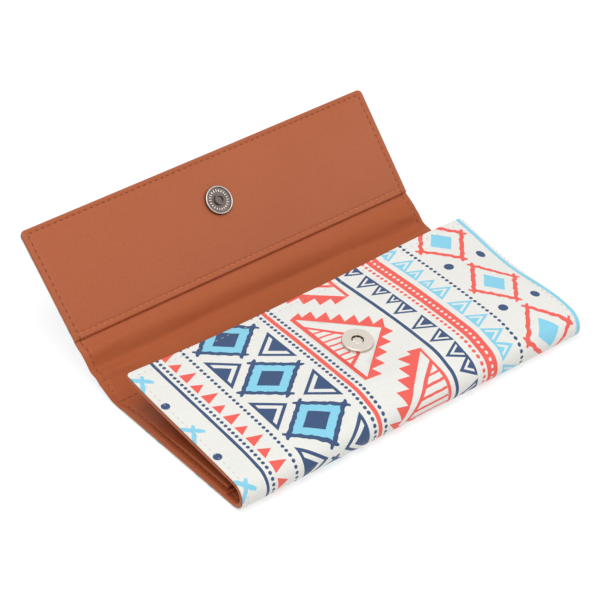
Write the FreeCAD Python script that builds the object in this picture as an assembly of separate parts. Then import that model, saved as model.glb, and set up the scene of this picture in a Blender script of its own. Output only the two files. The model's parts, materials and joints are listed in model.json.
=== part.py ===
"""Clutch wallet, opened for use: the back lies flat, the front panel stands a little open over it,
and the flap leans back on its soft spine. Millimetres. X runs along the fold, Y from the bottom
fold towards the flap, Z up. The origin is the centre of the back's flat underside."""
import FreeCAD, Part
import math
import os

os.makedirs("parts", exist_ok=True)

V = FreeCAD.Vector

# Layers of a panel: printed skin, stiffening board, lining
skin_thickness = 0.8
board_thickness = 1.0
lining_thickness = 0.8
hem_width = 5.0
board_clearance = 0.2

# Panels, from the bottom fold up the front, and from the same fold along the back to the flap
wallet_width = 190.0
back_length = 80.2
front_length = 75.8
front_tilt = 6.8
front_corner_radius = 2.5
fold_thickness = 14.3
fold_clearance = 0.3
spine_length = 28.6
spine_tilt = 19.3
margin_length = 9.0
flap_length = 53.4
flap_tilt = 45.1
flap_corner_radius = 4.0
board_corner_radius = 1.5

# Soft hinges beside the spine
hinge_clearance = 0.6
stack_setback = 0.6

# Slip pockets and card slots
pocket_thickness = 0.8
pocket_fold_margin = 5.0
front_pocket_mouth_gap = 8.8
back_pocket_mouth_gap = 7.2
card_width = 85.6
card_side_play = 2.2
card_column_gap = 4.0
card_sheet_thickness = 0.6
card_slot_bottom = 7.0
card_slot_depth = 54.0
card_tier_step = 10.0
card_tiers = 3

# Magnetic snap, both halves
front_snap_from_fold = 36.1
flap_snap_from_groove = 32.0
front_snap_radius = 7.0
front_case_height = 2.2
front_case_wall = 0.5
front_case_lip = 0.4
front_case_mouth_radius = 2.8
snap_edge_round = 0.3
magnet_radius = 6.2
magnet_bore_radius = 3.1
magnet_height = 1.5
flap_snap_radius = 6.8
flap_disc_height = 1.4
flap_disc_rim = 0.8
flap_disc_recess = 0.3
stud_radius = 2.4
stud_wall = 0.7
stud_height = 0.7
rivet_radius = 1.8
rivet_wall = 0.6
rivet_crown_radius = 2.4
rivet_crown_height = 0.3
front_rivet_reach = 1.3
rivet_teeth = 8
rivet_tooth_gap = 0.5
rivet_flange_radius = 3.0
rivet_flange_thickness = 0.3
pin_radius = 1.0
pin_head_radius = 1.5
pin_head_height = 0.4
washer_radius = 5.0
washer_thickness = 0.5
snap_play = 0.2
cut_overrun = 1.0

# Worked out from the sizes above
fold_radius = fold_thickness / 2
fold_y = -back_length / 2
bead_radius = max(skin_thickness, lining_thickness)
hinge_setback = bead_radius + hinge_clearance
spine_hinge_y = fold_y + back_length
flap_hinge_y = spine_hinge_y + spine_length * math.cos(math.radians(spine_tilt))
flap_hinge_z = skin_thickness + spine_length * math.sin(math.radians(spine_tilt))


def frame(y, z, tilt):
    """Place of a panel: its own Y runs along the panel, its own Z out of it."""
    return FreeCAD.Placement(V(0, y, z), FreeCAD.Rotation(V(1, 0, 0), tilt))


back_frame = frame(fold_y, 0, 0)
fold_frame = frame(fold_y, fold_radius, 0)
front_frame = frame(fold_y, fold_radius, front_tilt)
spine_frame = frame(spine_hinge_y, skin_thickness, spine_tilt)
flap_frame = frame(flap_hinge_y, flap_hinge_z, flap_tilt)


def layers(outer, inward):
    """Heights of the skin, board and lining, counted inward from the outer face."""
    heights = {}
    level = outer
    for name, thickness in (
        ("skin", skin_thickness),
        ("board", board_thickness),
        ("lining", lining_thickness),
        ("pocket", pocket_thickness),
    ):
        heights[name] = (level, level + inward * thickness)
        level += inward * thickness
    return heights


back_layers = layers(0, 1)
front_layers = layers(fold_radius, -1)
flap_layers = layers(-skin_thickness, 1)


def panel(span, start, end, layer, corner=0, middle=0):
    """Flat piece from start to end along the panel, its two far corners rounded."""
    low = min(layer)
    height = max(layer) - low
    left = middle - span / 2
    right = middle + span / 2
    if corner == 0:
        return Part.makeBox(span, end - start, height, V(left, start, low))
    bulge = corner * (1 - math.sqrt(0.5))
    a = V(left, start, low)
    b = V(right, start, low)
    c = V(right, end - corner, low)
    c_mid = V(right - bulge, end - bulge, low)
    d = V(right - corner, end, low)
    e = V(left + corner, end, low)
    e_mid = V(left + bulge, end - bulge, low)
    f = V(left, end - corner, low)
    wire = Part.Wire([
        Part.LineSegment(a, b).toShape(),
        Part.LineSegment(b, c).toShape(),
        Part.Arc(c, c_mid, d).toShape(),
        Part.LineSegment(d, e).toShape(),
        Part.Arc(e, e_mid, f).toShape(),
        Part.LineSegment(f, a).toShape(),
    ])
    return Part.Face(wire).extrude(V(0, 0, height))


def disc(radius, low, high, along):
    """Round piece standing on a panel at a distance along it."""
    return Part.makeCylinder(radius, high - low, V(0, along, low), V(0, 0, 1))


def through(radius, layer, along):
    """Cutter for a round hole through one layer."""
    return disc(radius, min(layer) - cut_overrun, max(layer) + cut_overrun, along)


def turned_skin(start, end, rim_start, rim_end, board_start, board_end, heights, corner=0):
    """Skin with its edges turned in round the board's bed."""
    sheet = panel(wallet_width, start, end, heights["skin"], corner)
    rim = panel(wallet_width, rim_start, rim_end, heights["board"], corner)
    bed = panel(
        wallet_width - 2 * hem_width + 2 * board_clearance,
        board_start - board_clearance,
        board_end + board_clearance,
        heights["board"],
        board_corner_radius if corner else 0,
    )
    return sheet.fuse(rim.cut(bed)).removeSplitter()


def board(start, end, heights, corner=0):
    return panel(wallet_width - 2 * hem_width, start, end, heights["board"], corner)


def ring_piece(outer_radius, inner_radius):
    """Strip bent round the bottom fold, from the back to the tilted front."""
    def at(radius, angle):
        turn = math.radians(angle)
        return V(-wallet_width / 2, radius * math.cos(turn), radius * math.sin(turn))

    low_angle = 270.0
    high_angle = 90.0 + front_tilt
    mid_angle = (low_angle + high_angle) / 2
    outer = Part.Arc(at(outer_radius, low_angle), at(outer_radius, mid_angle), at(outer_radius, high_angle))
    inner = Part.Arc(at(inner_radius, high_angle), at(inner_radius, mid_angle), at(inner_radius, low_angle))
    wire = Part.Wire([
        outer.toShape(),
        Part.LineSegment(at(outer_radius, high_angle), at(inner_radius, high_angle)).toShape(),
        inner.toShape(),
        Part.LineSegment(at(inner_radius, low_angle), at(outer_radius, low_angle)).toShape(),
    ])
    return Part.Face(wire).extrude(V(wallet_width, 0, 0))


def spine_strip(side, thickness):
    """One layer of the spine, between the two hinge lines, with a quarter bead at each end."""
    def at(along, out):
        return V(-wallet_width / 2, along, side * out)

    round_in = thickness * (1 - math.sqrt(0.5))
    low = at(-thickness, 0)
    low_mid = at(round_in - thickness, thickness - round_in)
    low_end = at(0, thickness)
    high_end = at(spine_length, thickness)
    high_mid = at(spine_length + thickness - round_in, thickness - round_in)
    high = at(spine_length + thickness, 0)
    wire = Part.Wire([
        Part.Arc(low, low_mid, low_end).toShape(),
        Part.LineSegment(low_end, high_end).toShape(),
        Part.Arc(high_end, high_mid, high).toShape(),
        Part.LineSegment(high, low).toShape(),
    ])
    return Part.Face(wire).extrude(V(wallet_width, 0, 0))


# Back: flat outer panel, its board and lining
back_end = back_length - hinge_setback
back_stack_end = back_end - stack_setback


def back_skin():
    return turned_skin(
        0, back_end, 0, back_stack_end, hem_width, back_stack_end - hem_width, back_layers
    )


def back_board():
    return board(hem_width, back_stack_end - hem_width, back_layers)


def back_lining():
    return panel(wallet_width, 0, back_stack_end, back_layers["lining"])


def back_pocket_panel():
    """Full-width slip pocket for notes, sewn on three sides, lying empty on the lining."""
    mouth = back_stack_end - back_pocket_mouth_gap
    return panel(wallet_width, pocket_fold_margin, mouth, back_layers["pocket"])


def card_slot(side, tier):
    """One card slot sheet; the lower tiers lie over the higher ones."""
    span = card_width + 2 * card_side_play
    middle = side * (span + card_column_gap) / 2
    base = max(back_layers["pocket"]) + tier * card_sheet_thickness
    top = card_slot_bottom + card_slot_depth - tier * card_tier_step
    return panel(span, card_slot_bottom, top, (base, base + card_sheet_thickness), 0, middle)


# Bottom fold: three layers bent between the back and the front
def fold_skin():
    return ring_piece(fold_radius, fold_radius - skin_thickness)


def fold_interlining():
    outer = fold_radius - skin_thickness
    return ring_piece(outer, outer - board_thickness)


def fold_lining():
    outer = fold_radius - skin_thickness - board_thickness
    return ring_piece(outer, outer - lining_thickness)


# Front: outer panel with the snap's lower half
front_board_end = front_length - hem_width


def front_skin():
    skin = turned_skin(
        fold_clearance, front_length, fold_clearance, front_length,
        hem_width, front_board_end, front_layers, front_corner_radius,
    )
    return skin.cut(through(rivet_radius + snap_play, front_layers["skin"], front_snap_from_fold))


def front_board():
    blank = board(hem_width, front_board_end, front_layers, board_corner_radius)
    return blank.cut(through(washer_radius + snap_play, front_layers["board"], front_snap_from_fold))


def front_lining():
    return panel(wallet_width, fold_clearance, front_length, front_layers["lining"], front_corner_radius)


def front_pocket_panel():
    """Slip pocket inside the front panel, its mouth towards the top edge."""
    mouth = front_length - front_pocket_mouth_gap
    return panel(wallet_width, pocket_fold_margin, mouth, front_layers["pocket"])


def front_snap_case():
    """Nickel cover of the lower snap half, open at the middle for the stud."""
    base = fold_radius
    top = base + front_case_height
    case = disc(front_snap_radius, base, top, front_snap_from_fold)
    rims = [e for e in case.Edges if abs(e.BoundBox.ZMin - top) < snap_edge_round and e.Closed]
    case = case.makeFillet(snap_edge_round, rims)
    hollow = disc(
        front_snap_radius - front_case_wall,
        base - cut_overrun,
        top - front_case_lip,
        front_snap_from_fold,
    )
    mouth = disc(front_case_mouth_radius, base - cut_overrun, top + cut_overrun, front_snap_from_fold)
    return case.cut(hollow).cut(mouth)


def front_snap_magnet():
    base = fold_radius
    ring = disc(magnet_radius, base, base + magnet_height, front_snap_from_fold)
    return ring.cut(
        disc(magnet_bore_radius, base - cut_overrun, base + magnet_height + cut_overrun, front_snap_from_fold)
    )


def front_snap_rivet():
    """Tubular rivet through the skin, crimped into teeth inside the snap's mouth."""
    skin_low = min(front_layers["skin"])
    low = skin_low - washer_thickness - rivet_flange_thickness
    top = fold_radius + front_rivet_reach
    tube = disc(rivet_radius, low, top, front_snap_from_fold)
    flange = disc(rivet_flange_radius, low, low + rivet_flange_thickness, front_snap_from_fold)
    crown = disc(rivet_crown_radius, top - rivet_crown_height, top, front_snap_from_fold)
    rivet = tube.fuse([flange, crown]).removeSplitter()
    rivet = rivet.cut(disc(rivet_radius - rivet_wall, low - cut_overrun, top + cut_overrun, front_snap_from_fold))
    for index in range(rivet_teeth):
        notch = Part.makeBox(
            rivet_crown_radius,
            rivet_tooth_gap,
            2 * rivet_crown_height,
            V(rivet_radius - rivet_wall / 2, -rivet_tooth_gap / 2, top - rivet_crown_height),
        )
        notch.rotate(V(0, 0, 0), V(0, 0, 1), index * 360.0 / rivet_teeth)
        notch.translate(V(0, front_snap_from_fold, 0))
        rivet = rivet.cut(notch)
    return rivet


def front_snap_washer():
    high = min(front_layers["skin"])
    washer = disc(washer_radius, high - washer_thickness, high, front_snap_from_fold)
    return washer.cut(disc(
        rivet_radius + snap_play,
        high - washer_thickness - cut_overrun,
        high + cut_overrun,
        front_snap_from_fold,
    ))


# Spine: soft strip that lifts the flap over the front's top edge
def spine_skin():
    return spine_strip(-1, skin_thickness)


def spine_lining():
    return spine_strip(1, lining_thickness)


# Flap: soft margin, groove, stiff flap with the snap's upper half
flap_end = margin_length + flap_length
flap_board_start = margin_length + hem_width / 2
flap_snap_along = margin_length + flap_snap_from_groove
flap_face = max(flap_layers["lining"])


def flap_skin():
    return turned_skin(
        hinge_setback, flap_end, margin_length, flap_end,
        flap_board_start, flap_end - hem_width, flap_layers, flap_corner_radius,
    )


def flap_board():
    blank = board(flap_board_start, flap_end - hem_width, flap_layers, board_corner_radius)
    return blank.cut(through(washer_radius + snap_play, flap_layers["board"], flap_snap_along))


def margin_lining():
    """Soft lining between the spine and the groove."""
    return panel(wallet_width, hinge_setback, margin_length, (0, lining_thickness))


def flap_lining():
    sheet = panel(wallet_width, margin_length, flap_end, flap_layers["lining"], flap_corner_radius)
    return sheet.cut(through(pin_radius + snap_play, flap_layers["lining"], flap_snap_along))


def flap_snap_disc():
    """Upper snap half: rimmed disc with a raised ring at the middle that enters the lower half."""
    top = flap_face + flap_disc_height
    body = disc(flap_snap_radius, flap_face, top, flap_snap_along)
    rims = [e for e in body.Edges if abs(e.BoundBox.ZMin - top) < snap_edge_round and e.Closed]
    body = body.makeFillet(snap_edge_round, rims)
    stud = disc(stud_radius, flap_face, top + stud_height, flap_snap_along)
    dish = disc(flap_snap_radius - flap_disc_rim, top - flap_disc_recess, top + cut_overrun, flap_snap_along)
    bore = disc(pin_radius + snap_play, flap_face - cut_overrun, top + cut_overrun, flap_snap_along)
    seat = disc(stud_radius - stud_wall, top - flap_disc_recess, top + stud_height + cut_overrun, flap_snap_along)
    return body.cut(dish).fuse(stud).removeSplitter().cut(bore).cut(seat)


def flap_snap_rivet():
    """Pin through the disc and the lining, headed inside the stud and flanged on the washer."""
    lining_low = min(flap_layers["lining"])
    low = lining_low - washer_thickness - rivet_flange_thickness
    seat = flap_face + flap_disc_height - flap_disc_recess
    pin = disc(pin_radius, low, seat + pin_head_height, flap_snap_along)
    flange = disc(rivet_flange_radius, low, low + rivet_flange_thickness, flap_snap_along)
    head = disc(pin_head_radius, seat, seat + pin_head_height, flap_snap_along)
    return pin.fuse([flange, head]).removeSplitter()


def flap_snap_washer():
    high = min(flap_layers["lining"])
    washer = disc(washer_radius, high - washer_thickness, high, flap_snap_along)
    return washer.cut(disc(
        pin_radius + snap_play,
        high - washer_thickness - cut_overrun,
        high + cut_overrun,
        flap_snap_along,
    ))


def build():
    """Every piece by name, in the place it has in the wallet at rest."""
    groups = (
        (back_frame, (back_skin, back_board, back_lining, back_pocket_panel)),
        (fold_frame, (fold_skin, fold_interlining, fold_lining)),
        (front_frame, (
            front_skin, front_board, front_lining, front_pocket_panel,
            front_snap_case, front_snap_magnet, front_snap_rivet, front_snap_washer,
        )),
        (spine_frame, (spine_skin, spine_lining)),
        (flap_frame, (
            flap_skin, flap_board, margin_lining, flap_lining,
            flap_snap_disc, flap_snap_rivet, flap_snap_washer,
        )),
    )
    pieces = {}
    for place, makers in groups:
        for maker in makers:
            shape = maker()
            shape.Placement = place.multiply(shape.Placement)
            pieces[maker.__name__] = shape
    for side, side_name in ((-1, "left"), (1, "right")):
        for tier in range(card_tiers):
            shape = card_slot(side, tier)
            shape.Placement = back_frame.multiply(shape.Placement)
            pieces[f"card_slot_{side_name}_{tier + 1}"] = shape
    return pieces


for name, shape in build().items():
    shape.exportStep(os.path.join("parts", name + ".step"))
    solids = len(shape.Solids)
    print(f"{name}: {solids} solid, {shape.Volume:.1f} cubic mm, valid {shape.isValid()}")

print(f"front fold axis: y {fold_y:.3f}, z {fold_radius:.3f}")
print(f"spine fold axis: y {spine_hinge_y:.3f}, z {skin_thickness:.3f}")
print(f"flap fold axis: y {flap_hinge_y:.3f}, z {flap_hinge_z:.3f}")
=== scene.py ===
import json
from math import ceil, cos, exp, floor, hypot, pi, radians, sin, sqrt

import bmesh
import bpy
from mathutils import Matrix, Vector, noise
from mathutils.geometry import delaunay_2d_cdt


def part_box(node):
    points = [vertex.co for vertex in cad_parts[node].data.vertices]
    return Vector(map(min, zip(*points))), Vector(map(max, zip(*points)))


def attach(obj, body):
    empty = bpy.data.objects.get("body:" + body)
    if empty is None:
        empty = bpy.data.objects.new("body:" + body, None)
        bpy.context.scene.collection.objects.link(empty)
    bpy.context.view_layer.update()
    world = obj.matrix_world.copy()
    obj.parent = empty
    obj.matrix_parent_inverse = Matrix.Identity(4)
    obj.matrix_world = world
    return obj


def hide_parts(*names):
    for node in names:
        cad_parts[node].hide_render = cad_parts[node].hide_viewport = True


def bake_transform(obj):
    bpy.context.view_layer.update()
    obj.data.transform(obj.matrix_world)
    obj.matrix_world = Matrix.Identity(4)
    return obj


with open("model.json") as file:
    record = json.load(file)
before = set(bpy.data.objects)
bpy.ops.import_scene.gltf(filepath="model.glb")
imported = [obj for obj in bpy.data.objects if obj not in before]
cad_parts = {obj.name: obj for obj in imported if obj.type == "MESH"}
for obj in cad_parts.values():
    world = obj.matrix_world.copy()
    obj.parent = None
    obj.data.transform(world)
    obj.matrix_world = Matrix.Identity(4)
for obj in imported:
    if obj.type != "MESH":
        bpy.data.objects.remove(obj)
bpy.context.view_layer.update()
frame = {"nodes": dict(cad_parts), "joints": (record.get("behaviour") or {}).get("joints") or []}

mm = 0.001

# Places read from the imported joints
joints = {joint["name"]: [value / mm for value in joint["pos_m"]] for joint in frame["joints"]}
fold_y, fold_z = joints["front_fold"][1:]
flap_y, flap_z = joints["flap_fold"][1:]
half_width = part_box("back_skin")[1].x / mm

# Section of the wallet
fold_radius = fold_z
front_tilt = 6.8
flap_tilt = 45.1
front_length = 75.8
margin_length = 9.0
flap_end = 63.0
skin_thickness = 0.8
print_thickness = 0.7
soft_face_depth = 1.6
stiff_face_depth = 2.6
pocket_thickness = 0.8
card_sheet_thickness = 0.6
spine_curve_start = 42.0
spine_curve_lift = 0.7
spine_split_reach = 16.8
board_step = (36.5, 42.0)

# Edges, pockets and boards
print_inset = 0.25
front_corner = 1.6
flap_corner = 2.6
free_edge_radius = 1.0
groove_dip = 0.35
margin_tuck = 1.5
pocket_corner = 0.9
pocket_inset = 0.5
pocket_front_u = (5.0, 67.0)
pocket_back_y = (-35.1, 30.9)
board_inset = 5.0
board_depth = 0.85
board_thickness = 0.9
felt_reach = 4.0

# Bow of the front: the share that the panel takes, and how far the print drifts for the rest
bow_share = 0.62
print_drift = (0.76, 0.84)

# The flap spreads a little toward its far edge and curls up at one corner
flap_spread = 0.012
flap_curl = 1.6

# Snap places along each panel
front_snap_along = 36.1
flap_snap_along = 41.0

# Layout steps
column_step = 2.5
flat_step = 3.0
wrinkle_step = 1.2
fold_step = 0.9
wrinkle_end = 40.0
groove_reach = 1.2
edge_rows = 6
clear = 0.12
profile_step = 0.1
weld_distance = 1e-3
merge_distance = 3e-7

# How far a bend over each joint reaches to either side of it
fold_bend_reach = 5.25
lining_bend_reach = 0.7 * fold_bend_reach
spine_bend_reach = 10.0
spine_bend_y = 49.0
flap_bend_reach = 6.0
flap_bend_tilt = 32.0

# Sewing
stitch_pitch = 3.2
stitch_length = 2.5
tan_thread_radius = 0.2
pale_thread_radius = 0.13
side_seam = 3.0
front_top_seam = 3.4
flap_end_seam = 2.3
groove_seam = 2.7
hem_seam = 2.0
back_cross_seam = 43.9
stitch_sink = 0.5
lining_groove = 0.35
print_groove = 0.15
seam_reach = 0.45


def direction(tilt):
    return Vector((cos(radians(tilt)), sin(radians(tilt))))


def upright(tilt):
    return direction(tilt).orthogonal()


def clamped(value, low=0.0, high=1.0):
    return min(high, max(low, value))


def smooth(value, low, high):
    """Smooth step from 0 at low to 1 at high."""
    t = clamped((value - low) / (high - low))
    return t * t * (3.0 - 2.0 * t)


def turn_angles(count):
    """Angles of a full turn in even steps."""
    return [2 * pi * index / count for index in range(count)]


# Section of the printed face
arc_steps = 180


def front_point(along):
    return Vector((fold_y, fold_z)) + along * direction(front_tilt) + fold_radius * upright(front_tilt)


def flap_point(along):
    return Vector((flap_y, flap_z)) + along * direction(flap_tilt) - skin_thickness * upright(flap_tilt)


def section_points():
    """Points of the printed face's section, from the front's top edge to the flap's far edge."""
    points = [front_point(front_length)]
    for index in range(arc_steps + 1):
        angle = 90.0 + front_tilt + (180.0 - front_tilt) * index / arc_steps
        points.append(Vector((fold_y, fold_z)) + fold_radius * direction(angle))
    groove = flap_point(margin_length)
    meeting = groove - direction(flap_tilt) * groove.y / sin(radians(flap_tilt))
    meeting += Vector((0.0, spine_curve_lift))
    start = Vector((spine_curve_start, 0.0))
    for index in range(arc_steps + 1):
        t = index / arc_steps
        points.append(start * (1 - t) ** 2 + meeting * 2 * t * (1 - t) + groove * t * t)
    points.append(flap_point(flap_end))
    return points


def measured_section():
    """Evenly spaced samples of the section: y, z and the inward normal."""
    points = section_points()
    distances = [0.0]
    for a, b in zip(points, points[1:]):
        distances.append(distances[-1] + (b - a).length)
    samples = []
    segment = 0
    count = int(distances[-1] / profile_step) + 1
    for index in range(count + 1):
        wanted = min(index * profile_step, distances[-1])
        while segment < len(points) - 2 and distances[segment + 1] < wanted:
            segment += 1
        span = max(distances[segment + 1] - distances[segment], 1e-9)
        share = (wanted - distances[segment]) / span
        samples.append(points[segment].lerp(points[segment + 1], share))
    reach = 4
    section = []
    for index, point in enumerate(samples):
        before = samples[max(0, index - reach)]
        after = samples[min(len(samples) - 1, index + reach)]
        along = (after - before).normalized()
        section.append((point.x, point.y, -along.y, along.x))
    return section


section = measured_section()
u_top = front_length
u_fold_end = -fold_radius * radians(180.0 - front_tilt)


def u_of_back(y):
    """Layout distance of a place on the back's flat underside."""
    return u_fold_end - (y - fold_y)


def curve_length():
    """Length of the spine's curve, which starts after the front's top edge and the fold's arc."""
    points = section_points()[arc_steps + 2:-1]
    return sum((b - a).length for a, b in zip(points, points[1:]))


u_groove = u_of_back(spine_curve_start) - curve_length()
u_end = u_groove - (flap_end - margin_length)


def u_of_flap(along):
    return u_groove - (along - margin_length)


def section_at(u):
    """Point and inward normal of the printed face's section at layout distance u."""
    row = (u_top - u) / profile_step
    index = clamped(int(row), 0, len(section) - 2)
    share = row - index
    a, b = section[index], section[index + 1]
    return tuple(p + (q - p) * share for p, q in zip(a, b))


def bell(value, middle, reach):
    return exp(-((value - middle) / reach) ** 2)


def bump(x, u, middle_x, middle_u, reach_x, reach_u):
    return exp(-((x - middle_x) / reach_x) ** 2 - ((u - middle_u) / reach_u) ** 2)


def front_bow(x, u):
    """Bow of the front's print out of its plane: full above the fold, sagging at the top and right."""
    rise = smooth(u, -14.0, 13.0) * (1.0 - smooth(u, 2.0, 80.0))
    swell = 5.9 * rise * bell(x, 15.0, 80.0)
    sag = 2.0 * bump(x, u, 30.0, 78.0, 55.0, 18.0) + 4.3 * bump(x, u, 98.0, 40.0, 16.0, 22.0)
    return swell - sag


def front_relief(x, u):
    """How far the front stands out from its flat place: less near the snap, which pins it."""
    from_snap = smooth(hypot(x, u - front_snap_along), 7.5, 30.0)
    wave = 1.8 * bump(x, u, 66.0, 79.0, 36.0, 12.0) + 0.8 * bump(x, u, -95.0, 79.0, 14.0, 12.0)
    wave -= 1.5 * bump(x, u, -42.0, 79.0, 32.0, 12.0)
    return bow_share * from_snap * front_bow(x, u) + wave


def spine_relief(x, u):
    """Soft bulge that drops to a long crease, a flatter one below it, and creases at the sewn ends."""
    crest = u_groove + 6.5
    valley = u_groove + 14.3 + 3.0 * smooth(x, 40.0, 90.0)
    lower = 1.0 - smooth(u, u_of_back(47.0), u_of_back(wrinkle_end + 1.0))
    inside = smooth(u, u_groove + 0.5, crest) * lower
    if u < valley:
        fold = -2.2 * (1.0 - max(0.0, (u - crest) / (valley - crest)) ** 2)
    else:
        fold = -1.8 * smooth(u, valley, valley + 5.0) * (1.0 - smooth(u, valley + 9.0, valley + 20.0))
    fold += 0.5 * noise.noise(Vector((x * 0.022, u * 0.14, 3.7)))
    fold += 0.3 * noise.noise(Vector((x * 0.04, u * 0.3, 8.1)))
    end = smooth(abs(x), half_width - 36.0, half_width - 9.0)
    lean = 0.16 * (half_width - abs(x))
    fold -= 0.5 * end * bell(u, valley - 4.5 - 0.9 * lean, 2.2)
    fold -= 1.0 * end * bell(u, valley + 5.0 + 0.6 * lean, 2.0)
    at_rim = smooth(abs(x), half_width - 4.5, half_width - 0.5)
    return inside * min(fold, 0.15) * (1.0 - 0.6 * at_rim)


def flap_relief(x, u):
    """The flap curls up slightly toward its far right corner."""
    share = (u_groove - u) / (u_groove - u_end)
    from_snap = smooth(hypot(x, u - u_of_flap(flap_snap_along)), 8.0, 30.0)
    return -flap_curl * share * from_snap * smooth(x, 0.0, half_width + 20.0)


def relief(x, u):
    if u > u_fold_end:
        return front_relief(x, u)
    if u > u_groove:
        return spine_relief(x, u)
    return flap_relief(x, u)


def place(x, u, depth):
    """A layout point at a depth below the printed face, in metres; the face stays off the table."""
    y, z, inward_y, inward_z = section_at(u)
    out = min(relief(x, u), z) - depth
    wide = 1.0 + flap_spread * max(0.0, u_groove - u) / (u_groove - u_end)
    return Vector((x * wide, y - inward_y * out, z - inward_z * out)) * mm


def lining_face(u):
    """Depth of the lining's face: deeper where a board stiffens the panel."""
    on_back = smooth(u, u_of_back(board_step[1]), u_of_back(board_step[0]))
    on_flap = smooth(-u, -u_groove - 0.6, -u_groove + 0.2)
    return soft_face_depth + (stiff_face_depth - soft_face_depth) * max(on_back, on_flap)


def margin_face(u):
    """Depth of the soft margin's face, drawn in where the flap's lining ends on it."""
    return soft_face_depth - groove_dip * bell(u, u_groove, 0.6)


def flap_face(u):
    """Depth of the flap lining's face, rounded down at its free edge along the groove."""
    share = clamped((u_groove - u) / free_edge_radius)
    return soft_face_depth + (stiff_face_depth - soft_face_depth) * sqrt(1.0 - (1.0 - share) ** 2)


def thickness_to(face):
    """Thickness of a sheet that lies between the printed skin and a face."""
    return lambda u: face(u) - print_thickness


def level(value):
    """A depth or thickness that is the same at every distance."""
    return lambda u: value


# Lattice of the layout: close rows where the section bends or wrinkles
def steps(start, end, step):
    """Even places from start to end, no more than a step apart."""
    count = max(1, ceil(abs(end - start) / step))
    return [start + (end - start) * index / count for index in range(count + 1)]


def between(values, start, end):
    """The values that lie strictly between two places, in the direction of travel."""
    chosen = [value for value in values if min(start, end) + clear < value < max(start, end) - clear]
    return chosen if end > start else chosen[::-1]


columns = steps(-half_width, half_width, column_step)
groove_rows = steps(u_groove - groove_reach, u_groove + groove_reach, 0.2)
split_rows = [u_groove + spine_split_reach + offset for offset in (-0.8, -0.4, -0.15, 0.0, 0.15, 0.4, 0.8)]
wrinkle_rows = groove_rows + steps(groove_rows[-1], split_rows[0], wrinkle_step)[1:-1] + split_rows
wrinkle_rows += steps(split_rows[-1], u_of_back(wrinkle_end), wrinkle_step)[1:]
fold_rows = steps(u_fold_end, 0.0, fold_step)
bent_rows = wrinkle_rows + fold_rows
rows = steps(u_end, u_groove - groove_reach, flat_step)[:-1] + wrinkle_rows
rows += steps(u_of_back(wrinkle_end), u_fold_end, flat_step)[1:-1] + fold_rows
rows += steps(0.0, u_top, flat_step)[1:]


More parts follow.
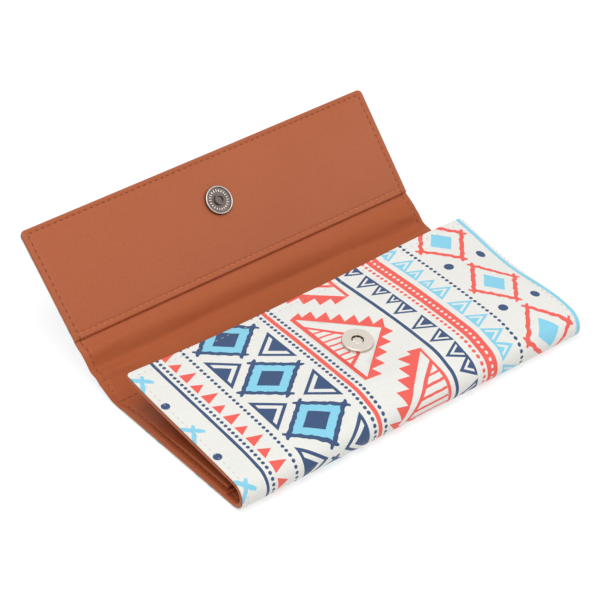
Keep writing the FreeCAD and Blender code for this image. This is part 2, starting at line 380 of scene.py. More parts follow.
class Sheet:
    """A sheet cut flat in the layout, turned over at its sides and, unless cut there, at its ends.

    face is the depth of its showing face, sense the way from there to its hidden face, and seams
    are the sewn runs that draw a groove into the showing face.
    """

    def __init__(self, outline, corner, face, thickness, sense, cut=(), seams=(), groove=0.0):
        left, right, self.low, self.high = outline
        self.face, self.thickness, self.sense = face, thickness, sense
        self.cut = cut
        self.seams = [(Vector(a), Vector(b)) for a, b in seams]
        self.groove = groove
        self.edge = max(thickness(self.low), thickness(self.high)) / 2
        self.round = max(corner - self.edge, 2 * clear)
        self.full = self.round + pi * self.edge
        inset = self.edge + self.round
        self.core_x = (left + inset, right - inset)
        self.core_u = (
            self.low - self.full * 2 if "low" in cut else self.low + inset,
            self.high + self.full * 2 if "high" in cut else self.high - inset,
        )

    def foot(self, x, u):
        """The core's nearest place, and the way outward from it."""
        near = Vector((clamped(x, *self.core_x), clamped(u, *self.core_u)))
        return near, Vector((x, u)) - near

    def ring(self, distance):
        """Outline at a distance from the core, with a point at every row and column that it crosses."""
        corners = []
        for side, end, start in ((1, 0, -90), (1, 1, 0), (0, 1, 90), (0, 0, 180)):
            x = self.core_x[side]
            if ("low", "high")[end] in self.cut:
                across = distance if side else -distance
                corners.append([Vector((x + across, (self.low, self.high)[end]))])
                continue
            centre = Vector((x, self.core_u[end]))
            turn = steps(start, start + 90.0, 11.25)
            corners.append([centre + distance * direction(angle) for angle in turn])
        outline = []
        for index, corner in enumerate(corners):
            a, b = corner[-1], corners[(index + 1) % 4][0]
            outline += corner
            if index % 2 == 0:
                outline += [Vector((a.x, row)) for row in between(rows, a.y, b.y)]
            else:
                outline += [Vector((column, a.y)) for column in between(columns, a.x, b.x)]
        return outline

    def lattice(self, chosen):
        """The chosen rows, each as its places in the flat of the sheet."""
        lines = []
        for row in chosen:
            if self.low + clear < row < self.high - clear:
                line = [Vector((x, row)) for x in columns if self.foot(x, row)[1].length < self.round - clear]
                if len(line) > 1:
                    lines.append(line)
        return lines

    def seam_lines(self):
        """Lines beside each seam that let the face follow its groove."""
        lines = []
        for a, b in self.seams:
            across = (b - a).orthogonal().normalized() * seam_reach
            shares = steps(0.0, 1.0, flat_step / (b - a).length)
            lines += [[a.lerp(b, t) + across * offset for t in shares] for offset in (-2, -1, 0, 1, 2)]
        return lines

    def pressed(self, x, u):
        """How deep the nearest seam draws the face in."""
        spot = Vector((x, u))
        depth = 0.0
        for a, b in self.seams:
            run = b - a
            along = clamped((spot - a).dot(run) / run.length_squared)
            distance = (spot - a - run * along).length
            depth = max(depth, self.groove * bell(distance, 0.0, 1.2 * seam_reach))
        return depth

    def spread(self, x, u):
        """Widens the sheet where it is thinner, which keeps its turned sides in line."""
        return x * (1.0 + (self.edge - self.thickness(u) / 2) / self.core_x[1])

    def showing(self, x, u):
        """Finished place and depth of a layout point on the showing face or its turned edge."""
        near, away = self.foot(x, u)
        if away.length <= self.round:
            return self.spread(x, u), u, self.face(u) + self.sense * self.pressed(x, u)
        outward = away.normalized()
        near = near + outward * self.round
        turn = pi * min(1.0, (away.length - self.round) / (self.full - self.round))
        radius = self.thickness(near.y) / 2
        reach = outward * radius * sin(turn)
        depth = self.face(near.y) + self.sense * radius * (1.0 - cos(turn))
        return self.spread(near.x, near.y) + reach.x, near.y + reach.y, depth

    def hidden(self, x, u):
        return self.spread(x, u), u, self.face(u) + self.sense * self.thickness(u)


def counterclockwise(points):
    points = [Vector(point) for point in points]
    area = sum(a.x * b.y - b.x * a.y for a, b in zip(points, points[1:] + points[:1]))
    return points if area > 0 else points[::-1]


def triangulated(outline, motifs, lines):
    """Layout triangles of an outline, each with the number of the last motif painted over it."""
    verts = []
    faces = []
    edges = []
    for polygon in (outline, *motifs):
        start = len(verts)
        verts += counterclockwise(polygon)
        faces.append(list(range(start, len(verts))))
    for line in lines:
        start = len(verts)
        verts += line
        edges += [(index, index + 1) for index in range(start, len(verts) - 1)]
    out = delaunay_2d_cdt(verts, edges, faces, 1, weld_distance)
    kept = [(tuple(corners), max(sources)) for corners, sources in zip(out[2], out[5]) if 0 in sources]
    return out[0], kept


def border_of(triangles):
    """The loop of border vertices of a triangulated outline, in order."""
    sides = set()
    for corners, _ in triangles:
        sides.update(zip(corners, corners[1:] + corners[:1]))
    following = {a: b for a, b in sides if (b, a) not in sides}
    loop = [min(following)]
    while following[loop[-1]] != loop[0]:
        loop.append(following[loop[-1]])
    return loop


def hidden_outline(sheet, points, triangles):
    """Outline of the hidden face, with a point under every point of the turned edge."""
    rim = []
    for index in border_of(triangles):
        near, away = sheet.foot(*points[index])
        if away.length > sheet.full - weld_distance * 5:
            rim.append(near + away.normalized() * sheet.round)
    outline = []
    for a, b in zip(rim, rim[1:] + rim[:1]):
        outline.append(a)
        if abs(b.x - a.x) > 3 * column_step:
            outline += [Vector((column, a.y)) for column in between(columns, a.x, b.x)]
    return outline


def linked(name, data):
    """New object with its data, put into the scene."""
    piece = bpy.data.objects.new(name, data)
    bpy.context.scene.collection.objects.link(piece)
    return piece


def shaped(name, vertices, faces):
    """New object with a smooth mesh."""
    mesh = bpy.data.meshes.new(name)
    mesh.from_pydata(vertices, [], faces)
    mesh.update()
    mesh.shade_smooth()
    return linked(name, mesh)


def slab(name, sheet, motifs=(), inks=(0,)):
    """Closed mesh of a sheet: showing face, turned edges, hidden face and cut ends."""
    work = bmesh.new()
    layout = work.loops.layers.uv.new("layout")

    def add_face(points, triangles, finished):
        used = {index for corners, _ in triangles for index in corners}
        verts = {index: work.verts.new(place(*finished(*points[index]))) for index in sorted(used)}
        for corners, source in triangles:
            face = work.faces.new([verts[index] for index in corners])
            face.material_index = inks[source]
            face.smooth = True
            for loop, index in zip(face.loops, corners):
                loop[layout].uv = points[index] * mm

    turned = sheet.full - sheet.round
    edge = [sheet.ring(sheet.round + turned * row / edge_rows) for row in range(edge_rows)]
    lines = [ring + ring[:1] for ring in edge] + sheet.seam_lines() + sheet.lattice(bent_rows)
    spots = [[spot] for line in sheet.lattice(rows) for spot in line]
    points, triangles = triangulated(sheet.ring(sheet.full), motifs, lines + spots)
    add_face(points, triangles, sheet.showing)
    add_face(*triangulated(hidden_outline(sheet, points, triangles), (), spots), sheet.hidden)
    bmesh.ops.remove_doubles(work, verts=work.verts, dist=merge_distance)
    open_sides = [side for side in work.edges if side.is_boundary]
    for side in open_sides:
        side.smooth = False
    for end in bmesh.ops.holes_fill(work, edges=open_sides, sides=0)["faces"]:
        end.smooth = False
        end.material_index = inks[0]
    bmesh.ops.recalc_face_normals(work, faces=work.faces)
    mesh = bpy.data.meshes.new(name)
    work.to_mesh(mesh)
    work.free()
    return linked(name, mesh)


# Drawn print: layers of marks, each an ink and a polygon in the layout
def wander(place_along, seed):
    """A slow, repeatable unsteadiness of the hand, from -1 to 1."""
    return (
        0.5 * sin(1.3 * place_along + 2.1 * seed)
        + 0.3 * sin(3.1 * place_along + 4.7 * seed)
        + 0.2 * sin(5.3 * place_along + 0.9 * seed)
    )


def stroke(a, b, width, seed=0.0, shake=0.0, taper=0.35):
    """Brush stroke from a to b with an unsteady edge and rounded, thinner ends."""
    a, b = Vector(a), Vector(b)
    along = (b - a).normalized()
    across = along.orthogonal()
    length = (b - a).length
    count = max(2, int(length / 1.1))
    upper, lower = [], []
    for index in range(count + 1):
        t = index / count
        middle = a + along * (length * t) + across * shake * 0.6 * wander(length * t * 0.8, seed + 3.0)
        near_end = min(t, 1 - t) * length / width
        half = 0.5 * width * (1.0 - taper * max(0.0, 1.0 - near_end))
        upper.append(middle + across * (half + shake * 0.5 * wander(length * t * 1.3, seed)))
        lower.append(middle - across * (half + shake * 0.5 * wander(length * t * 1.1, seed + 7.0)))
    return upper + lower[::-1]


def dot(x, u, radius, tall=1.0, sides=18):
    return [(x + radius * cos(a), u + tall * radius * sin(a)) for a in turn_angles(sides)]


def diamond_sides(x, u, half_x, half_u):
    """The four sides of a diamond, each from corner to corner."""
    reaches = ((half_x, 0.0), (0.0, half_u), (-half_x, 0.0), (0.0, -half_u))
    corners = [Vector((x + reach_x, u + reach_u)) for reach_x, reach_u in reaches]
    return list(zip(corners, corners[1:] + corners[:1]))


def diamond(x, u, half_x, half_u, shake=0.0, seed=0.0):
    points = []
    for a, b in diamond_sides(x, u, half_x, half_u):
        out = (a - b).orthogonal().normalized()
        for index in range(6):
            t = index / 6.0
            swing = shake * wander(8.0 * t, seed + a.x) * min(1.0, 4 * min(t, 1 - t))
            points.append(a.lerp(b, t) + out * swing)
    return points


def brushed_diamond(ink, x, u, half_x, half_u, width, overshoot, shake, seed):
    """Four strokes that cross at the corners of a diamond."""
    marks = []
    for index, (a, b) in enumerate(diamond_sides(x, u, half_x, half_u)):
        past = (b - a).normalized() * overshoot
        marks.append((ink, stroke(a - past, b + past, width, seed + 2.7 * index, shake, 0.5)))
    return marks


def repeated(first, period, marks_at):
    """Layer of marks at every place first + k * period of a strip, and a period beyond its ends."""

    def layer(low, high):
        index = floor((low - period - first) / period)
        marks = []
        while first + index * period < high + period:
            marks += marks_at(first + index * period)
            index += 1
        return marks

    return layer


def dotted(ink, x, radius, pitch):
    return repeated(0.4 * pitch, pitch, lambda u: [(ink, dot(x, u, radius, sides=8))])


def line(ink, x, width):
    """Layer of one line along a strip and past its ends, with a slightly uneven edge."""

    def layer(low, high):
        places = steps(low - 5.0, high + 5.0, 3.0)
        left = [(x - width / 2 + 0.08 * wander(u * 0.31, x), u) for u in places]
        right = [(x + width / 2 + 0.08 * wander(u * 0.27, x + 5.0), u) for u in places]
        return [(ink, left + right[::-1])]

    return layer


def cross(u):
    """Brushed cross by the left edge, with a round dot above it."""
    return [
        ("sky", stroke((-97.0, u + 5.6), (-87.6, u - 2.6), 2.3, u, 0.35)),
        ("sky", stroke((-95.6, u - 6.2), (-89.8, u + 3.4), 2.0, u + 1, 0.35)),
        ("navy", dot(-92.3, u + 19.0, 2.0)),
    ]


def coral_tooth(u, tip):
    """Pointed tooth on the band's edge."""
    half = 2.95 + 0.2 * wander(u, 1.0)
    return [("coral", [(-76.7, u - half), (tip, u + 0.2), (-76.7, u + half)])]


def blue_diamond(u):
    x = -46.3
    return [
        ("sky", diamond(x, u, 15.0, 12.0)),
        *brushed_diamond("navy", x, u, 14.8, 12.0, 2.0, 2.8, 0.45, u),
        ("navy", diamond(x, u, 7.4, 6.0, 0.12, u)),
    ]


def inward_triangle(base_x, tip_x, u, half, ink, outline, white):
    """Outlined triangle with a pale chevron inside and a filled core at its base."""
    side = 1 if tip_x > base_x else -1
    length = abs(tip_x - base_x)
    slope = hypot(length, half)

    def inset(border, base_inset):
        cut_tip = border * slope / half
        near = base_x + side * base_inset
        tall = half - border * slope / length - base_inset * half / length
        return [(near, u - tall), (tip_x - side * cut_tip, u), (near, u + tall)]

    return [
        (ink, [(base_x, u - half), (tip_x, u), (base_x, u + half)]),
        ("ground", inset(outline, outline)),
        (ink, inset(outline + white, outline * 0.5)),
    ]


def band_triangles(u):
    left = inward_triangle(-63.2, -50.2, u, 10.5, "navy", 1.5, 1.9)
    return left + inward_triangle(-28.3, -41.8, u, 10.5, "navy", 1.5, 1.9)


# Small triangles of one repeat: how far each lies below the first, and its half height
small_row = (
    (0.0, 5.0), (8.7, 4.3), (17.4, 3.8), (25.6, 5.1), (38.7, 5.5), (49.9, 5.1), (60.4, 5.0), (68.1, 4.3)
)


def small_triangles(first):
    marks = []
    for drop, half in small_row:
        u = first - drop
        marks += inward_triangle(32.8, 32.8 - 1.98 * half, u, half, "navy", 1.15, 0.2 * half)
        marks += inward_triangle(47.4, 47.4 + 2.0 * half, u + 0.3, half, "sky", 1.2, 0.2 * half)
    return marks


saw_middle = 0.35
saw_period = 98.4

# Large triangles, for each way they point: base line and its half height, width of the border,
# top and tip of the pale inside, top and tip of the inner triangle, pitch and slant of its hatching
saw_forms = {
    1: (-15.85, 25.9, 2.1, 24.6, (11.9, -3.6), 18.6, (4.3, -4.7), 3.8, 0.2),
    -1: (-16.6, 25.1, 1.6, 23.3, (12.4, -1.4), 17.4, (8.5, -0.9), 3.4, 0.0),
}


def saw_triangle(u, side):
    """Large coral triangle: saw teeth on its slanted sides, hatching inside; side 1 points right."""

    def at(across, up):
        return Vector((saw_middle + side * across, u + up))

    def toothed(start, end, teeth, peak):
        """Notches evenly along a slanted side, each with the peak of its tooth."""
        points = []
        for index, share in enumerate(steps(0.0, 1.0, 1.0 / (teeth - 1))):
            root = Vector(start).lerp(Vector(end), share)
            size = 1.0 + 0.12 * wander(index * 1.9, u)
            points += [at(*root), at(*(root + Vector(peak) * size))]
        return points

    edge, half, border, pale_top, pale_tip, top, tip, pitch, slant = saw_forms[side]
    outer = [at(edge, -half), at(edge, half), at(edge + 6.4, half + 1.8)]
    outer += toothed((-10.4, 24.2), (10.8, 0.6), 6, (6.3, 1.2))
    outer += toothed((13.4, -4.0), (-8.6, -21.8), 5, (1.2, -4.9))
    base = edge + border
    bottom = -15.8
    marks = [
        ("coral", outer),
        ("ground", [at(base, pale_top), at(*pale_tip), at(base, -24.7)]),
        ("coral", [at(base - 0.3, top), at(*tip), at(base - 0.3, bottom)]),
        ("ground", [at(base, top - 2.5), at(tip[0] - 2.4, tip[1] + 0.2), at(base, bottom + 2.2)]),
    ]
    upper = (tip[0] - base) / (top - tip[1])
    lower = (tip[0] - base) / (tip[1] - bottom)
    for up in steps(top - 1.8 * pitch, bottom + 1.4 * pitch, pitch):
        to_upper = (top - up) * upper / (1.0 - slant * upper)
        to_lower = (up - bottom) * lower / (1.0 + slant * lower)
        reach = min(to_upper, to_lower)
        end = at(base + reach - 0.8, up - slant * reach)
        marks.append(("coral", stroke(at(base - 0.3, up), end, 0.3 + 0.2 * pitch, up, 0.15, 0.0)))
    return marks


def saw_triangles(u):
    return saw_triangle(u, 1) + saw_triangle(u - saw_period / 2, -1)


def right_motifs(u):
    """Brushed coral diamond with a pale blue heart, and a pair of navy ovals above it."""
    return [
        *brushed_diamond("coral", 76.2, u, 12.3, 14.8, 2.05, 2.6, 0.6, u + 0.4),
        ("sky", diamond(76.2, u, 6.2, 7.1, 0.15, u)),
        ("navy", dot(66.4, u + 19.9, 2.4, 0.95)),
        ("navy", dot(86.3, u + 20.3, 2.1, 1.15)),
    ]


# Layers in the order they are laid down; a repeated one has its first place and its period
diamond_period = 31.4
print_layers = (
    repeated(31.5, 36.3, cross),
    line("navy", -81.9, 1.5),
    dotted("navy", -79.0, 0.88, 2.55),
    repeated(5.3, 15.5, lambda u: coral_tooth(u, -71.4)),
    repeated(13.05, 15.5, lambda u: coral_tooth(u, -69.3)),
    dotted("navy", -66.9, 0.88, 2.55),
    repeated(38.2, diamond_period, blue_diamond),
    repeated(21.6, diamond_period, band_triangles),
    dotted("navy", -24.9, 0.9, 2.55),
    line("coral", -22.1, 2.1),
    dotted("navy", -19.1, 0.9, 2.55),
    repeated(38.2, saw_period, saw_triangles),
    line("navy", 20.9, 1.8),
    repeated(64.8, 78.4, small_triangles),
    dotted("coral", 36.6, 0.9, 2.7),
    line("coral", 41.5, 5.9),
    dotted("ground", 41.5, 0.76, 2.7),
    dotted("navy", 58.8, 0.92, 2.7),
    repeated(31.6, 36.5, right_motifs),
    line("sky", 93.2, 1.8),
    dotted("navy", 95.3, 0.32, 2.6),
)


# Materials
def new_material(name):
    """Material with its node tree and the inputs of its surface."""
    material = bpy.data.materials.new(name)
    material.use_nodes = True
    return material, material.node_tree, material.node_tree.nodes["Principled BSDF"].inputs


def fill(tree, inputs, values):
    """Sets the named inputs, and links those that are given another node's output."""
    for name, value in values.items():
        if isinstance(value, bpy.types.NodeSocket):
            tree.links.new(value, inputs[name])
        else:
            inputs[name].default_value = value


def added(tree, kind, output, values, **settings):
    """New node with its settings and inputs; returns one of its outputs."""
    node = tree.nodes.new("ShaderNode" + kind)
    for name, value in settings.items():
        setattr(node, name, value)
    fill(tree, node.inputs, values)
    return node.outputs[output]


def computed(tree, operation, *values):
    """Result of a sum of numbers and other nodes' outputs."""
    return added(tree, "Math", "Value", dict(enumerate(values)), operation=operation)


def noisy(tree, where, scale, detail=2.0):
    return added(tree, "TexNoise", "Fac", {"Vector": where, "Scale": scale, "Detail": detail})


def mixed(tree, share, first, second):
    """Colour between two, by a share from 0 to 1."""
    colours = {"A": (*first, 1.0), "B": (*second, 1.0), "Factor": share}
    return added(tree, "Mix", "Result", colours, data_type="RGBA")


def ranged(tree, value, low, high, start=0.0, end=1.0):
    """Value that runs from low to high while the given one runs from start to end."""
    limits = {"Value": value, "From Min": start, "From Max": end, "To Min": low, "To Max": high}
    return added(tree, "MapRange", "Result", limits)


def grained(name, colour, tone, roughness, grain, grain_height, coordinates="UV"):
    """Surface with fine pebbled grain, slow changes of tone and uneven gloss."""
    material, tree, base = new_material(name)
    where = added(tree, "TexCoord", coordinates, {})
    slow = noisy(tree, where, 28.0, 3.0)
    cells = added(tree, "TexVoronoi", "Distance", {"Vector": where, "Scale": grain}, feature="SMOOTH_F1")
    height = computed(tree, "MULTIPLY_ADD", noisy(tree, where, grain * 2.2), 0.45, cells)
    raised = {"Strength": 0.7, "Distance": grain_height, "Height": height}
    shade = {0: mixed(tree, slow, colour, tone), "Scale": ranged(tree, cells, 1.0, 0.93, 0.2, 0.9)}
    fill(tree, base, {
        "Base Color": added(tree, "VectorMath", "Vector", shade, operation="SCALE"),
        "Roughness": ranged(tree, slow, roughness - 0.06, roughness + 0.06),
        "Specular IOR Level": 0.3,
        "Normal": added(tree, "Bump", "Normal", raised),
    })
    return material


def rubbed(material, middle, reach):
    """Takes the gloss off a band of the layout, round a middle distance u."""
    tree = material.node_tree
    along = added(tree, "SeparateXYZ", "Y", {"Vector": added(tree, "TexCoord", "UV", {})})
    away = computed(tree, "ABSOLUTE", computed(tree, "SUBTRACT", along, middle * mm))
    gloss = ranged(tree, away, 0.10, 0.3, 0.6 * reach * mm, reach * mm)
    fill(tree, tree.nodes["Principled BSDF"].inputs, {"Specular IOR Level": gloss})
    return material


def brushed_metal(name, colour, dull, roughness, scale):
    """Plated metal with faint scratches and a dull patina in patches."""
    material, tree, base = new_material(name)
    where = added(tree, "TexCoord", "Object", {})
    patches = noisy(tree, where, scale, 6.0)
    raised = {"Strength": 0.25, "Distance": 0.00003, "Height": noisy(tree, where, scale * 8.0)}
    fill(tree, base, {
        "Metallic": 1.0,
        "Base Color": mixed(tree, patches, colour, dull),
        "Roughness": ranged(tree, patches, roughness - 0.08, roughness + 0.12),
        "Normal": added(tree, "Bump", "Normal", raised),
    })
    return material


def thread(name, colour, tone):
    return grained(name, colour, tone, 0.6, 4000.0, 0.00003, "Object")


# Inks of the print: colour, its slower tone and roughness
ink_looks = {
    "ground": ((0.87, 0.865, 0.82), (0.83, 0.825, 0.78), 0.46),
    "navy": ((0.046, 0.094, 0.213), (0.037, 0.076, 0.172), 0.44),
    "sky": ((0.27, 0.685, 0.87), (0.245, 0.64, 0.83), 0.45),
    "coral": ((0.92, 0.135, 0.108), (0.88, 0.118, 0.095), 0.45),
}
ink_names = list(ink_looks)
print_inks = [grained("print_" + ink, *look, 1500.0, 0.00005) for ink, look in ink_looks.items()]
tan_look = ((0.455, 0.118, 0.042), (0.42, 0.104, 0.037), 0.42, 1300.0, 0.00005)
tan = grained("tan_lining", *tan_look)
tan_spine = rubbed(grained("tan_spine", *tan_look), u_groove + 20.0, 20.0)
card_board = grained("grey_board", (0.42, 0.38, 0.32), (0.36, 0.32, 0.27), 0.85, 900.0, 0.00006, "Object")
felt = grained("interlining_felt", (0.62, 0.60, 0.56), (0.55, 0.53, 0.49), 0.9, 2200.0, 0.00008)
dark_thread = thread("dark_tan_thread", (0.27, 0.058, 0.022), (0.20, 0.042, 0.016))
light_thread = thread("orange_thread", (0.73, 0.27, 0.10), (0.62, 0.21, 0.075))
pale_thread = thread("pale_thread", (0.62, 0.62, 0.62), (0.50, 0.50, 0.51))
nickel = brushed_metal("nickel_plate", (0.75, 0.69, 0.62), (0.68, 0.62, 0.55), 0.30, 260.0)
pewter = brushed_metal("pewter", (0.19, 0.15, 0.135), (0.10, 0.08, 0.07), 0.40, 420.0)
# Lighter metal for the flap snap's raised rim, centre ring and ticks: partly wear on raised edges, partly a
# painted highlight standing in for the light caught by the rim and ring
worn_nickel = brushed_metal("worn_nickel", (0.70, 0.66, 0.62), (0.46, 0.42, 0.39), 0.34, 420.0)
steel = brushed_metal("plain_steel", (0.55, 0.55, 0.54), (0.46, 0.46, 0.45), 0.35, 300.0)
magnet = brushed_metal("magnet_iron", (0.12, 0.12, 0.12), (0.07, 0.07, 0.07), 0.5, 300.0)


# Joints that a piece lies across: their bodies, and the places where a bend over each would start and end
def bend(base, moved, y, z, reach_y, reach_z):
    return base, moved, *((0, (y + side * reach_y) * mm, (z + side * reach_z) * mm) for side in (-1, 1))


front_bend = bend("back", "front", fold_y, fold_z, 0.0, fold_bend_reach)
lining_bend = bend("back", "front", fold_y, fold_z, 0.0, lining_bend_reach)
spine_bend = bend("back", "spine", spine_bend_y, 0.0, spine_bend_reach, 0.0)
flap_bend = bend("spine", "flap", flap_y, flap_z, *(direction(flap_bend_tilt) * flap_bend_reach))


def fitted(piece, by, materials, nodes=()):
    """Gives a piece its materials and hides the solids it replaces; attaches it to its body, or, when given a
    bend, only bakes its place into its mesh.
    """
    for material in materials:
        piece.data.materials.append(material)
    if nodes:
        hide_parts(*nodes)
    if isinstance(by, str):
        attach(piece, by)
    else:
        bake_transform(piece)


# Seam runs in the layout
u_back_split = u_of_back(0.0)
u_spine_split = u_groove + spine_split_reach
seam_x = half_width - side_seam


def side_runs(low, high):
    return [((x, low), (x, high)) for x in (-seam_x, seam_x)]


def end_run(u):
    return [((-seam_x, u), (seam_x, u))]


front_runs = side_runs(u_back_split, u_top - front_top_seam) + end_run(u_top - front_top_seam)
back_runs = side_runs(u_spine_split, u_back_split)
cross_run = end_run(u_of_back(back_cross_seam))
flap_runs = side_runs(u_end + flap_end_seam, u_spine_split) + end_run(u_end + flap_end_seam)
groove_run = end_run(u_groove - groove_seam)
front_hem_run = end_run(pocket_front_u[0] + hem_seam)
back_hem_run = end_run(u_of_back(pocket_back_y[0]) - hem_seam)


# Printed skin in three lengths
def bowed(point):
    """Place of a mark that keeps to the full bow of the front, where the stiff panel bows less."""
    x, u = point
    held_back = front_bow(x, u) - front_relief(x, u)
    return Vector((x + held_back * print_drift[0], u + held_back * print_drift[1]))


def printed_skin(name, low, high, cut, corner, runs, nodes, by, drifts=False):
    side = half_width - print_inset
    outline = (-side, side, low, high)
    sheet = Sheet(outline, corner, level(0.0), level(print_thickness), 1, cut, runs, print_groove)
    marks = [mark for layer in print_layers for mark in layer(low, high)]
    inks = [0] + [ink_names.index(ink) for ink, _ in marks]
    outlines = [[bowed(point) if drifts else point for point in points] for _, points in marks]
    piece = slab(name, sheet, outlines, inks)
    fitted(piece, by, print_inks, nodes)


printed_skin(
    "printed_skin_front", u_back_split, u_top - print_inset, ("low",), front_corner, front_runs,
    ("front_skin", "fold_skin"), front_bend, True,
)
printed_skin(
    "printed_skin_back", u_spine_split, u_back_split, ("low", "high"), front_corner, back_runs,
    ("back_skin", "spine_skin"), spine_bend,
)
printed_skin(
    "printed_skin_flap", u_end + print_inset, u_spine_split, ("high",), flap_corner,
    flap_runs + groove_run, ("flap_skin",), flap_bend,
)


# Linings, pockets and boards
def inner_sheet(name, outline, corner, face, thickness, nodes, by, cut=(), runs=(), material=tan):
    piece = slab(name, Sheet(outline, corner, face, thickness, -1, cut, runs, lining_groove))
    fitted(piece, by, [material], nodes)


def lining(name, low, high, corner, face, nodes, by, cut, runs, material=tan):
    outline = (-half_width, half_width, low, high)
    inner_sheet(name, outline, corner, face, thickness_to(face), nodes, by, cut, runs, material)


lining(
    "lining_front", u_back_split, u_top, front_corner, lining_face,
    ("front_lining", "fold_lining"), lining_bend, ("low",), front_runs,
)
lining(
    "lining_back", u_spine_split, u_back_split, front_corner, lining_face,
    ("back_lining", "spine_lining"), spine_bend, ("low", "high"), back_runs + cross_run, tan_spine,
)
lining(
    "lining_margin", u_groove - margin_tuck, u_spine_split, front_corner, margin_face,
    ("margin_lining",), flap_bend, ("high",), flap_runs, tan_spine,
)
lining(
    "lining_flap", u_end, u_groove, flap_corner, flap_face,
    ("flap_lining",), "flap", ("high",), flap_runs + groove_run,
)


core_side = half_width - board_inset


def core(name, low, high, corner):
    """Layer between skin and lining."""
    outline = (-core_side, core_side, low, high)
    return slab(name, Sheet(outline, corner, level(board_depth), level(board_thickness), 1))


fitted(
    core("fold_felt", u_fold_end - felt_reach, felt_reach, 1.0), front_bend, [felt],
    ["fold_interlining"],
)
for node, body, low, high in (
    ("front_board", "front", board_inset, front_length - board_inset),
    ("flap_board", "flap", u_end + board_inset, u_groove - board_inset),
):
    fitted(core(node + "_flexed", low, high, 1.5), body, [card_board], [node])


def pocket(name, outline, face, thickness, body, node, runs=()):
    inner_sheet(name, outline, pocket_corner, level(face), level(thickness), [node], body, (), runs)


pocket_side = half_width - pocket_inset
pocket_face = stiff_face_depth + pocket_thickness
pocket_back_u = tuple(u_of_back(y) for y in pocket_back_y[::-1])
for panel, ends, hem_run in (
    ("front", pocket_front_u, front_hem_run), ("back", pocket_back_u, back_hem_run)
):
    pocket(
        "pocket_" + panel, (-pocket_side, pocket_side, *ends), pocket_face, pocket_thickness,
        panel, panel + "_pocket_panel", side_runs(*ends) + hem_run,
    )
for side in ("left", "right"):
    for tier in (1, 2, 3):
        node = f"card_slot_{side}_{tier}"
        low_corner, high_corner = (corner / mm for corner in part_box(node))
        pocket(
            f"card_pocket_{side}_{tier}",
            (low_corner.x, high_corner.x, u_of_back(high_corner.y), u_of_back(low_corner.y)),
            high_corner.z, card_sheet_thickness, "back", node,
        )


# Sewing thread
def rings_joined(start, rings, sides, inward=False):
    """Faces between neighbouring rings of points."""
    faces = []
    for here in range(start, start + (rings - 1) * sides):
        beside = here + 1 if (here + 1 - start) % sides else here + 1 - sides
        face = (here, beside, beside + sides, here + sides)
        faces.append((here, *face[:0:-1]) if inward else face)
    return faces


def sewn(name, runs, surface, sense, radius, groove):
    """Stitches along runs in the layout, arched over the surface and sunk at both ends."""
    vertices = []
    faces = []
    rings = 7
    sides = 6
    crest = 0.6 * radius - groove
    number = 0
    for a, b in ((Vector(a), Vector(b)) for a, b in runs):
        run = b - a
        count = max(1, round(run.length / stitch_pitch))
        for index in range(count):
            number += 1
            lean = radians(4.0 + 2.0 * wander(number, 1.0))
            way = run.normalized()
            way.rotate(Matrix.Rotation(lean, 2))
            across = way.orthogonal()
            middle = a + run * (index + 0.5) / count + across * 0.06 * wander(number * 0.7, 2.0)
            start = len(vertices)
            for ring in range(rings):
                t = 2.0 * ring / (rings - 1) - 1.0
                for angle in turn_angles(sides):
                    spot = middle + way * stitch_length / 2 * t + across * radius * cos(angle)
                    up = crest - stitch_sink * t * t + radius * sin(angle)
                    vertices.append(place(spot.x, spot.y, surface(spot.y) + sense * up))
            faces += rings_joined(start, rings, sides)
            faces.append(tuple(range(start, start + sides))[::-1])
            faces.append(tuple(range(len(vertices) - sides, len(vertices))))
    return shaped(name, vertices, faces)


def inner_face(u):
    """Depth of the face that a seam crosses inside: the pocket's where there is one."""
    in_pocket = any(low < u < high for low, high in (pocket_front_u, pocket_back_u))
    return pocket_face if in_pocket else lining_face(u)


# Slot, thread, face, way out, thread radius and groove of the stitches on each side
outside = ("printed_skin", pale_thread, level(0.0), -1, pale_thread_radius, print_groove)
inside = ("lining", dark_thread, inner_face, 1, tan_thread_radius, lining_groove)
for name, runs, by, (slot, material, *surface) in (
    ("front_outside", front_runs, front_bend, outside),
    ("front_inside", front_runs + front_hem_run, lining_bend, inside),
    ("back_outside", back_runs, spine_bend, outside),
    ("back_inside", back_runs + cross_run + back_hem_run, spine_bend, inside),
    ("flap_outside", flap_runs + groove_run, flap_bend, outside),
    ("flap_inside", flap_runs, flap_bend, inside),
    ("groove_inside", groove_run, flap_bend, ("lining", light_thread, *inside[2:])),
):
    fitted(sewn("stitches_" + name, runs, *surface), by, [material])

# Snap and other pieces kept from the frame
for node, material in (
    ("front_snap_case", nickel), ("front_snap_magnet", magnet), ("front_snap_rivet", nickel),
    ("front_snap_washer", steel), ("flap_snap_disc", pewter), ("flap_snap_rivet", pewter),
    ("flap_snap_washer", steel), ("back_board", card_board),
):
    slots = frame["nodes"][node].data.materials
    slots.clear()
    slots.append(material)


# Small forms of the snap, drawn on its own axes: x along the fold, y along the panel, z out of it
def snap_axes(hinge, tilt, along):
    way, out = direction(tilt), upright(tilt)
    middle = Vector(hinge) + along * way
    return Matrix((
        (1.0, 0.0, 0.0, 0.0),
        (0.0, way.x, out.x, middle.x),
        (0.0, way.y, out.y, middle.y),
        (0.0, 0.0, 0.0, 1.0),
    ))


def bead(radius, thick, height):
    """Rolled bead round the snap's axis."""
    turns = 64
    sides = 10
    vertices = []
    for angle in turn_angles(turns):
        for round_angle in turn_angles(sides):
            reach = radius + thick * cos(round_angle)
            up = height + thick * sin(round_angle)
            vertices.append((reach * cos(angle), reach * sin(angle), up))
    faces = rings_joined(0, turns + 1, sides, True)
    return vertices, [tuple(index % len(vertices) for index in face) for face in faces]


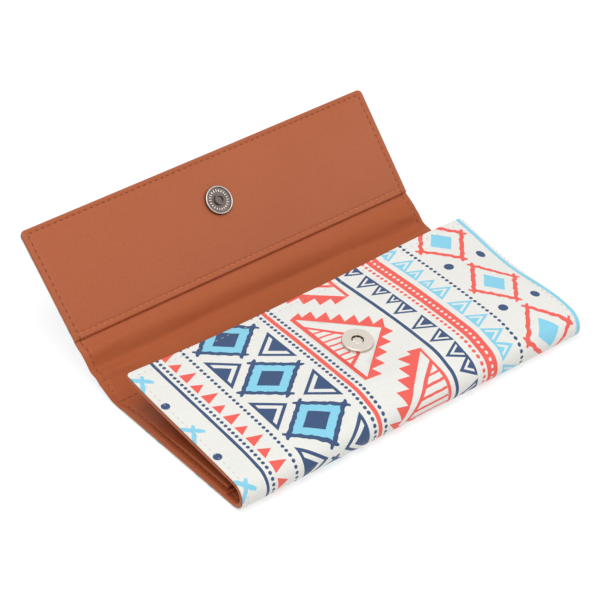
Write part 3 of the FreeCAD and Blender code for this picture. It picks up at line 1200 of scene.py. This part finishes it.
def petalled_crown(radius, low, high):
    """Spread end of the tubular rivet, split into petals at its rim."""
    sides = 64
    petals = 8
    shares = (0.3, 0.55, 0.75, 0.9, 1.0)
    vertices = [(0.0, 0.0, high)]
    for ring, share in enumerate((*shares, 1.0)):
        up = high - 0.25 * share ** 3 if ring < len(shares) else low
        for angle in turn_angles(sides):
            split = 0.24 * max(0.0, cos(petals * angle)) ** 4 * smooth(share, 0.7, 0.9)
            reach = radius * share * (1.0 - split)
            vertices.append((reach * cos(angle), reach * sin(angle), up))
    faces = [(0, 1 + side, 1 + (side + 1) % sides) for side in range(sides)]
    faces += rings_joined(1, len(shares) + 1, sides, True)
    faces.append(tuple(range(len(vertices) - sides, len(vertices)))[::-1])
    return vertices, faces


def raised_ticks(count, radius, low, high):
    """Ring of small raised bars on the snap's sunken field."""
    vertices = []
    faces = []
    for angle in turn_angles(count):
        turn = Matrix.Rotation(angle, 3, "Z")
        start = len(vertices)
        for half_long, half_wide, up in ((0.75, 0.34, low), (0.6, 0.2, high)):
            for across, along in ((-1, -1), (1, -1), (1, 1), (-1, 1)):
                vertices.append(turn @ Vector((radius + half_long * across, half_wide * along, up)))
        faces.append((start + 3, start + 2, start + 1, start))
        faces.append((start + 4, start + 5, start + 6, start + 7))
        faces += rings_joined(start, 2, 4)
    return vertices, faces


front_axes = snap_axes((fold_y, fold_z), front_tilt, front_snap_along)
flap_axes = snap_axes((flap_y, flap_z), flap_tilt, flap_snap_along)
for name, (vertices, faces), axes, material, slot, body in (
    ("front_snap_crown", petalled_crown(2.45, 8.3, 8.98), front_axes, nickel, "nickel", "front"),
    ("front_snap_seam", bead(6.95, 0.13, 8.15), front_axes, magnet, "nickel", "front"),
    # Rim, ring and ticks of the flap snap in lighter metal: partly wear, partly painted highlight on the rim
    # and centre ring
    ("flap_snap_rim", bead(6.4, 0.3, 3.12), flap_axes, worn_nickel, "pewter", "flap"),
    ("flap_snap_ring", bead(2.1, 0.28, 3.6), flap_axes, worn_nickel, "pewter", "flap"),
    ("flap_snap_ticks", raised_ticks(22, 4.4, 2.8, 3.12), flap_axes, worn_nickel, "pewter", "flap"),
):
    piece = shaped(name, [axes @ Vector(vertex) * mm for vertex in vertices], faces)
    fitted(piece, body, [material])


# Floor, light and camera
def seen_rays(tree):
    """1 for rays from the camera, from gloss and through glass."""
    path = tree.nodes.new("ShaderNodeLightPath").outputs
    first = computed(tree, "MAXIMUM", path["Is Camera Ray"], path["Is Glossy Ray"])
    return computed(tree, "MAXIMUM", first, path["Is Transmission Ray"])


def studio_floor():
    size = 3.0
    corners = [(x * size, y * size, -0.0002) for x, y in ((-1, -1), (1, -1), (1, 1), (-1, 1))]
    plane = shaped("floor", corners, [(0, 1, 2, 3)])
    material, tree, base = new_material("pale_floor")
    seen = seen_rays(tree)
    fill(tree, base, {
        "Base Color": ranged(tree, seen, 0.85, 0.38),
        "Roughness": 0.9,
        "Specular IOR Level": 0.1,
        "Emission Color": (1.0, 1.0, 1.0, 1.0),
        "Emission Strength": computed(tree, "MULTIPLY", seen, 0.70),
    })
    plane.data.materials.append(material)


def studio_world():
    world = bpy.data.worlds.new("studio")
    bpy.context.scene.world = world
    world.use_nodes = True
    tree = world.node_tree
    strength = ranged(tree, seen_rays(tree), 0.50, 1.0)
    fill(tree, tree.nodes["Background"].inputs, {"Color": (1.0, 1.0, 1.0, 1.0), "Strength": strength})


def area_light(name, spot, size, power):
    light = bpy.data.lights.new(name, "AREA")
    light.shape = "DISK"
    light.size = size
    light.energy = power
    lamp = linked(name, light)
    lamp.location = spot
    lamp.rotation_euler = (Vector((0.0, 0.03, 0.0)) - Vector(spot)).to_track_quat("-Z", "Y").to_euler()


def studio_camera():
    data = bpy.data.cameras.new("camera")
    data.lens = 140.07
    data.sensor_width = 36.0
    camera = linked("camera", data)
    target = Vector((0.0, 0.03482, 0.01879))
    back = Vector((-0.50183, -0.63063, 0.59201))
    camera.location = target + back * 1.03956
    camera.rotation_euler = (-back).to_track_quat("-Z", "Y").to_euler()
    bpy.context.scene.camera = camera


studio_floor()
studio_world()
area_light("key", (-0.35, -0.25, 1.15), 0.9, 8.1)
area_light("fill", (0.9, -0.6, 0.7), 0.8, 2.2)
studio_camera()
bpy.context.scene.view_settings.view_transform = "Standard"
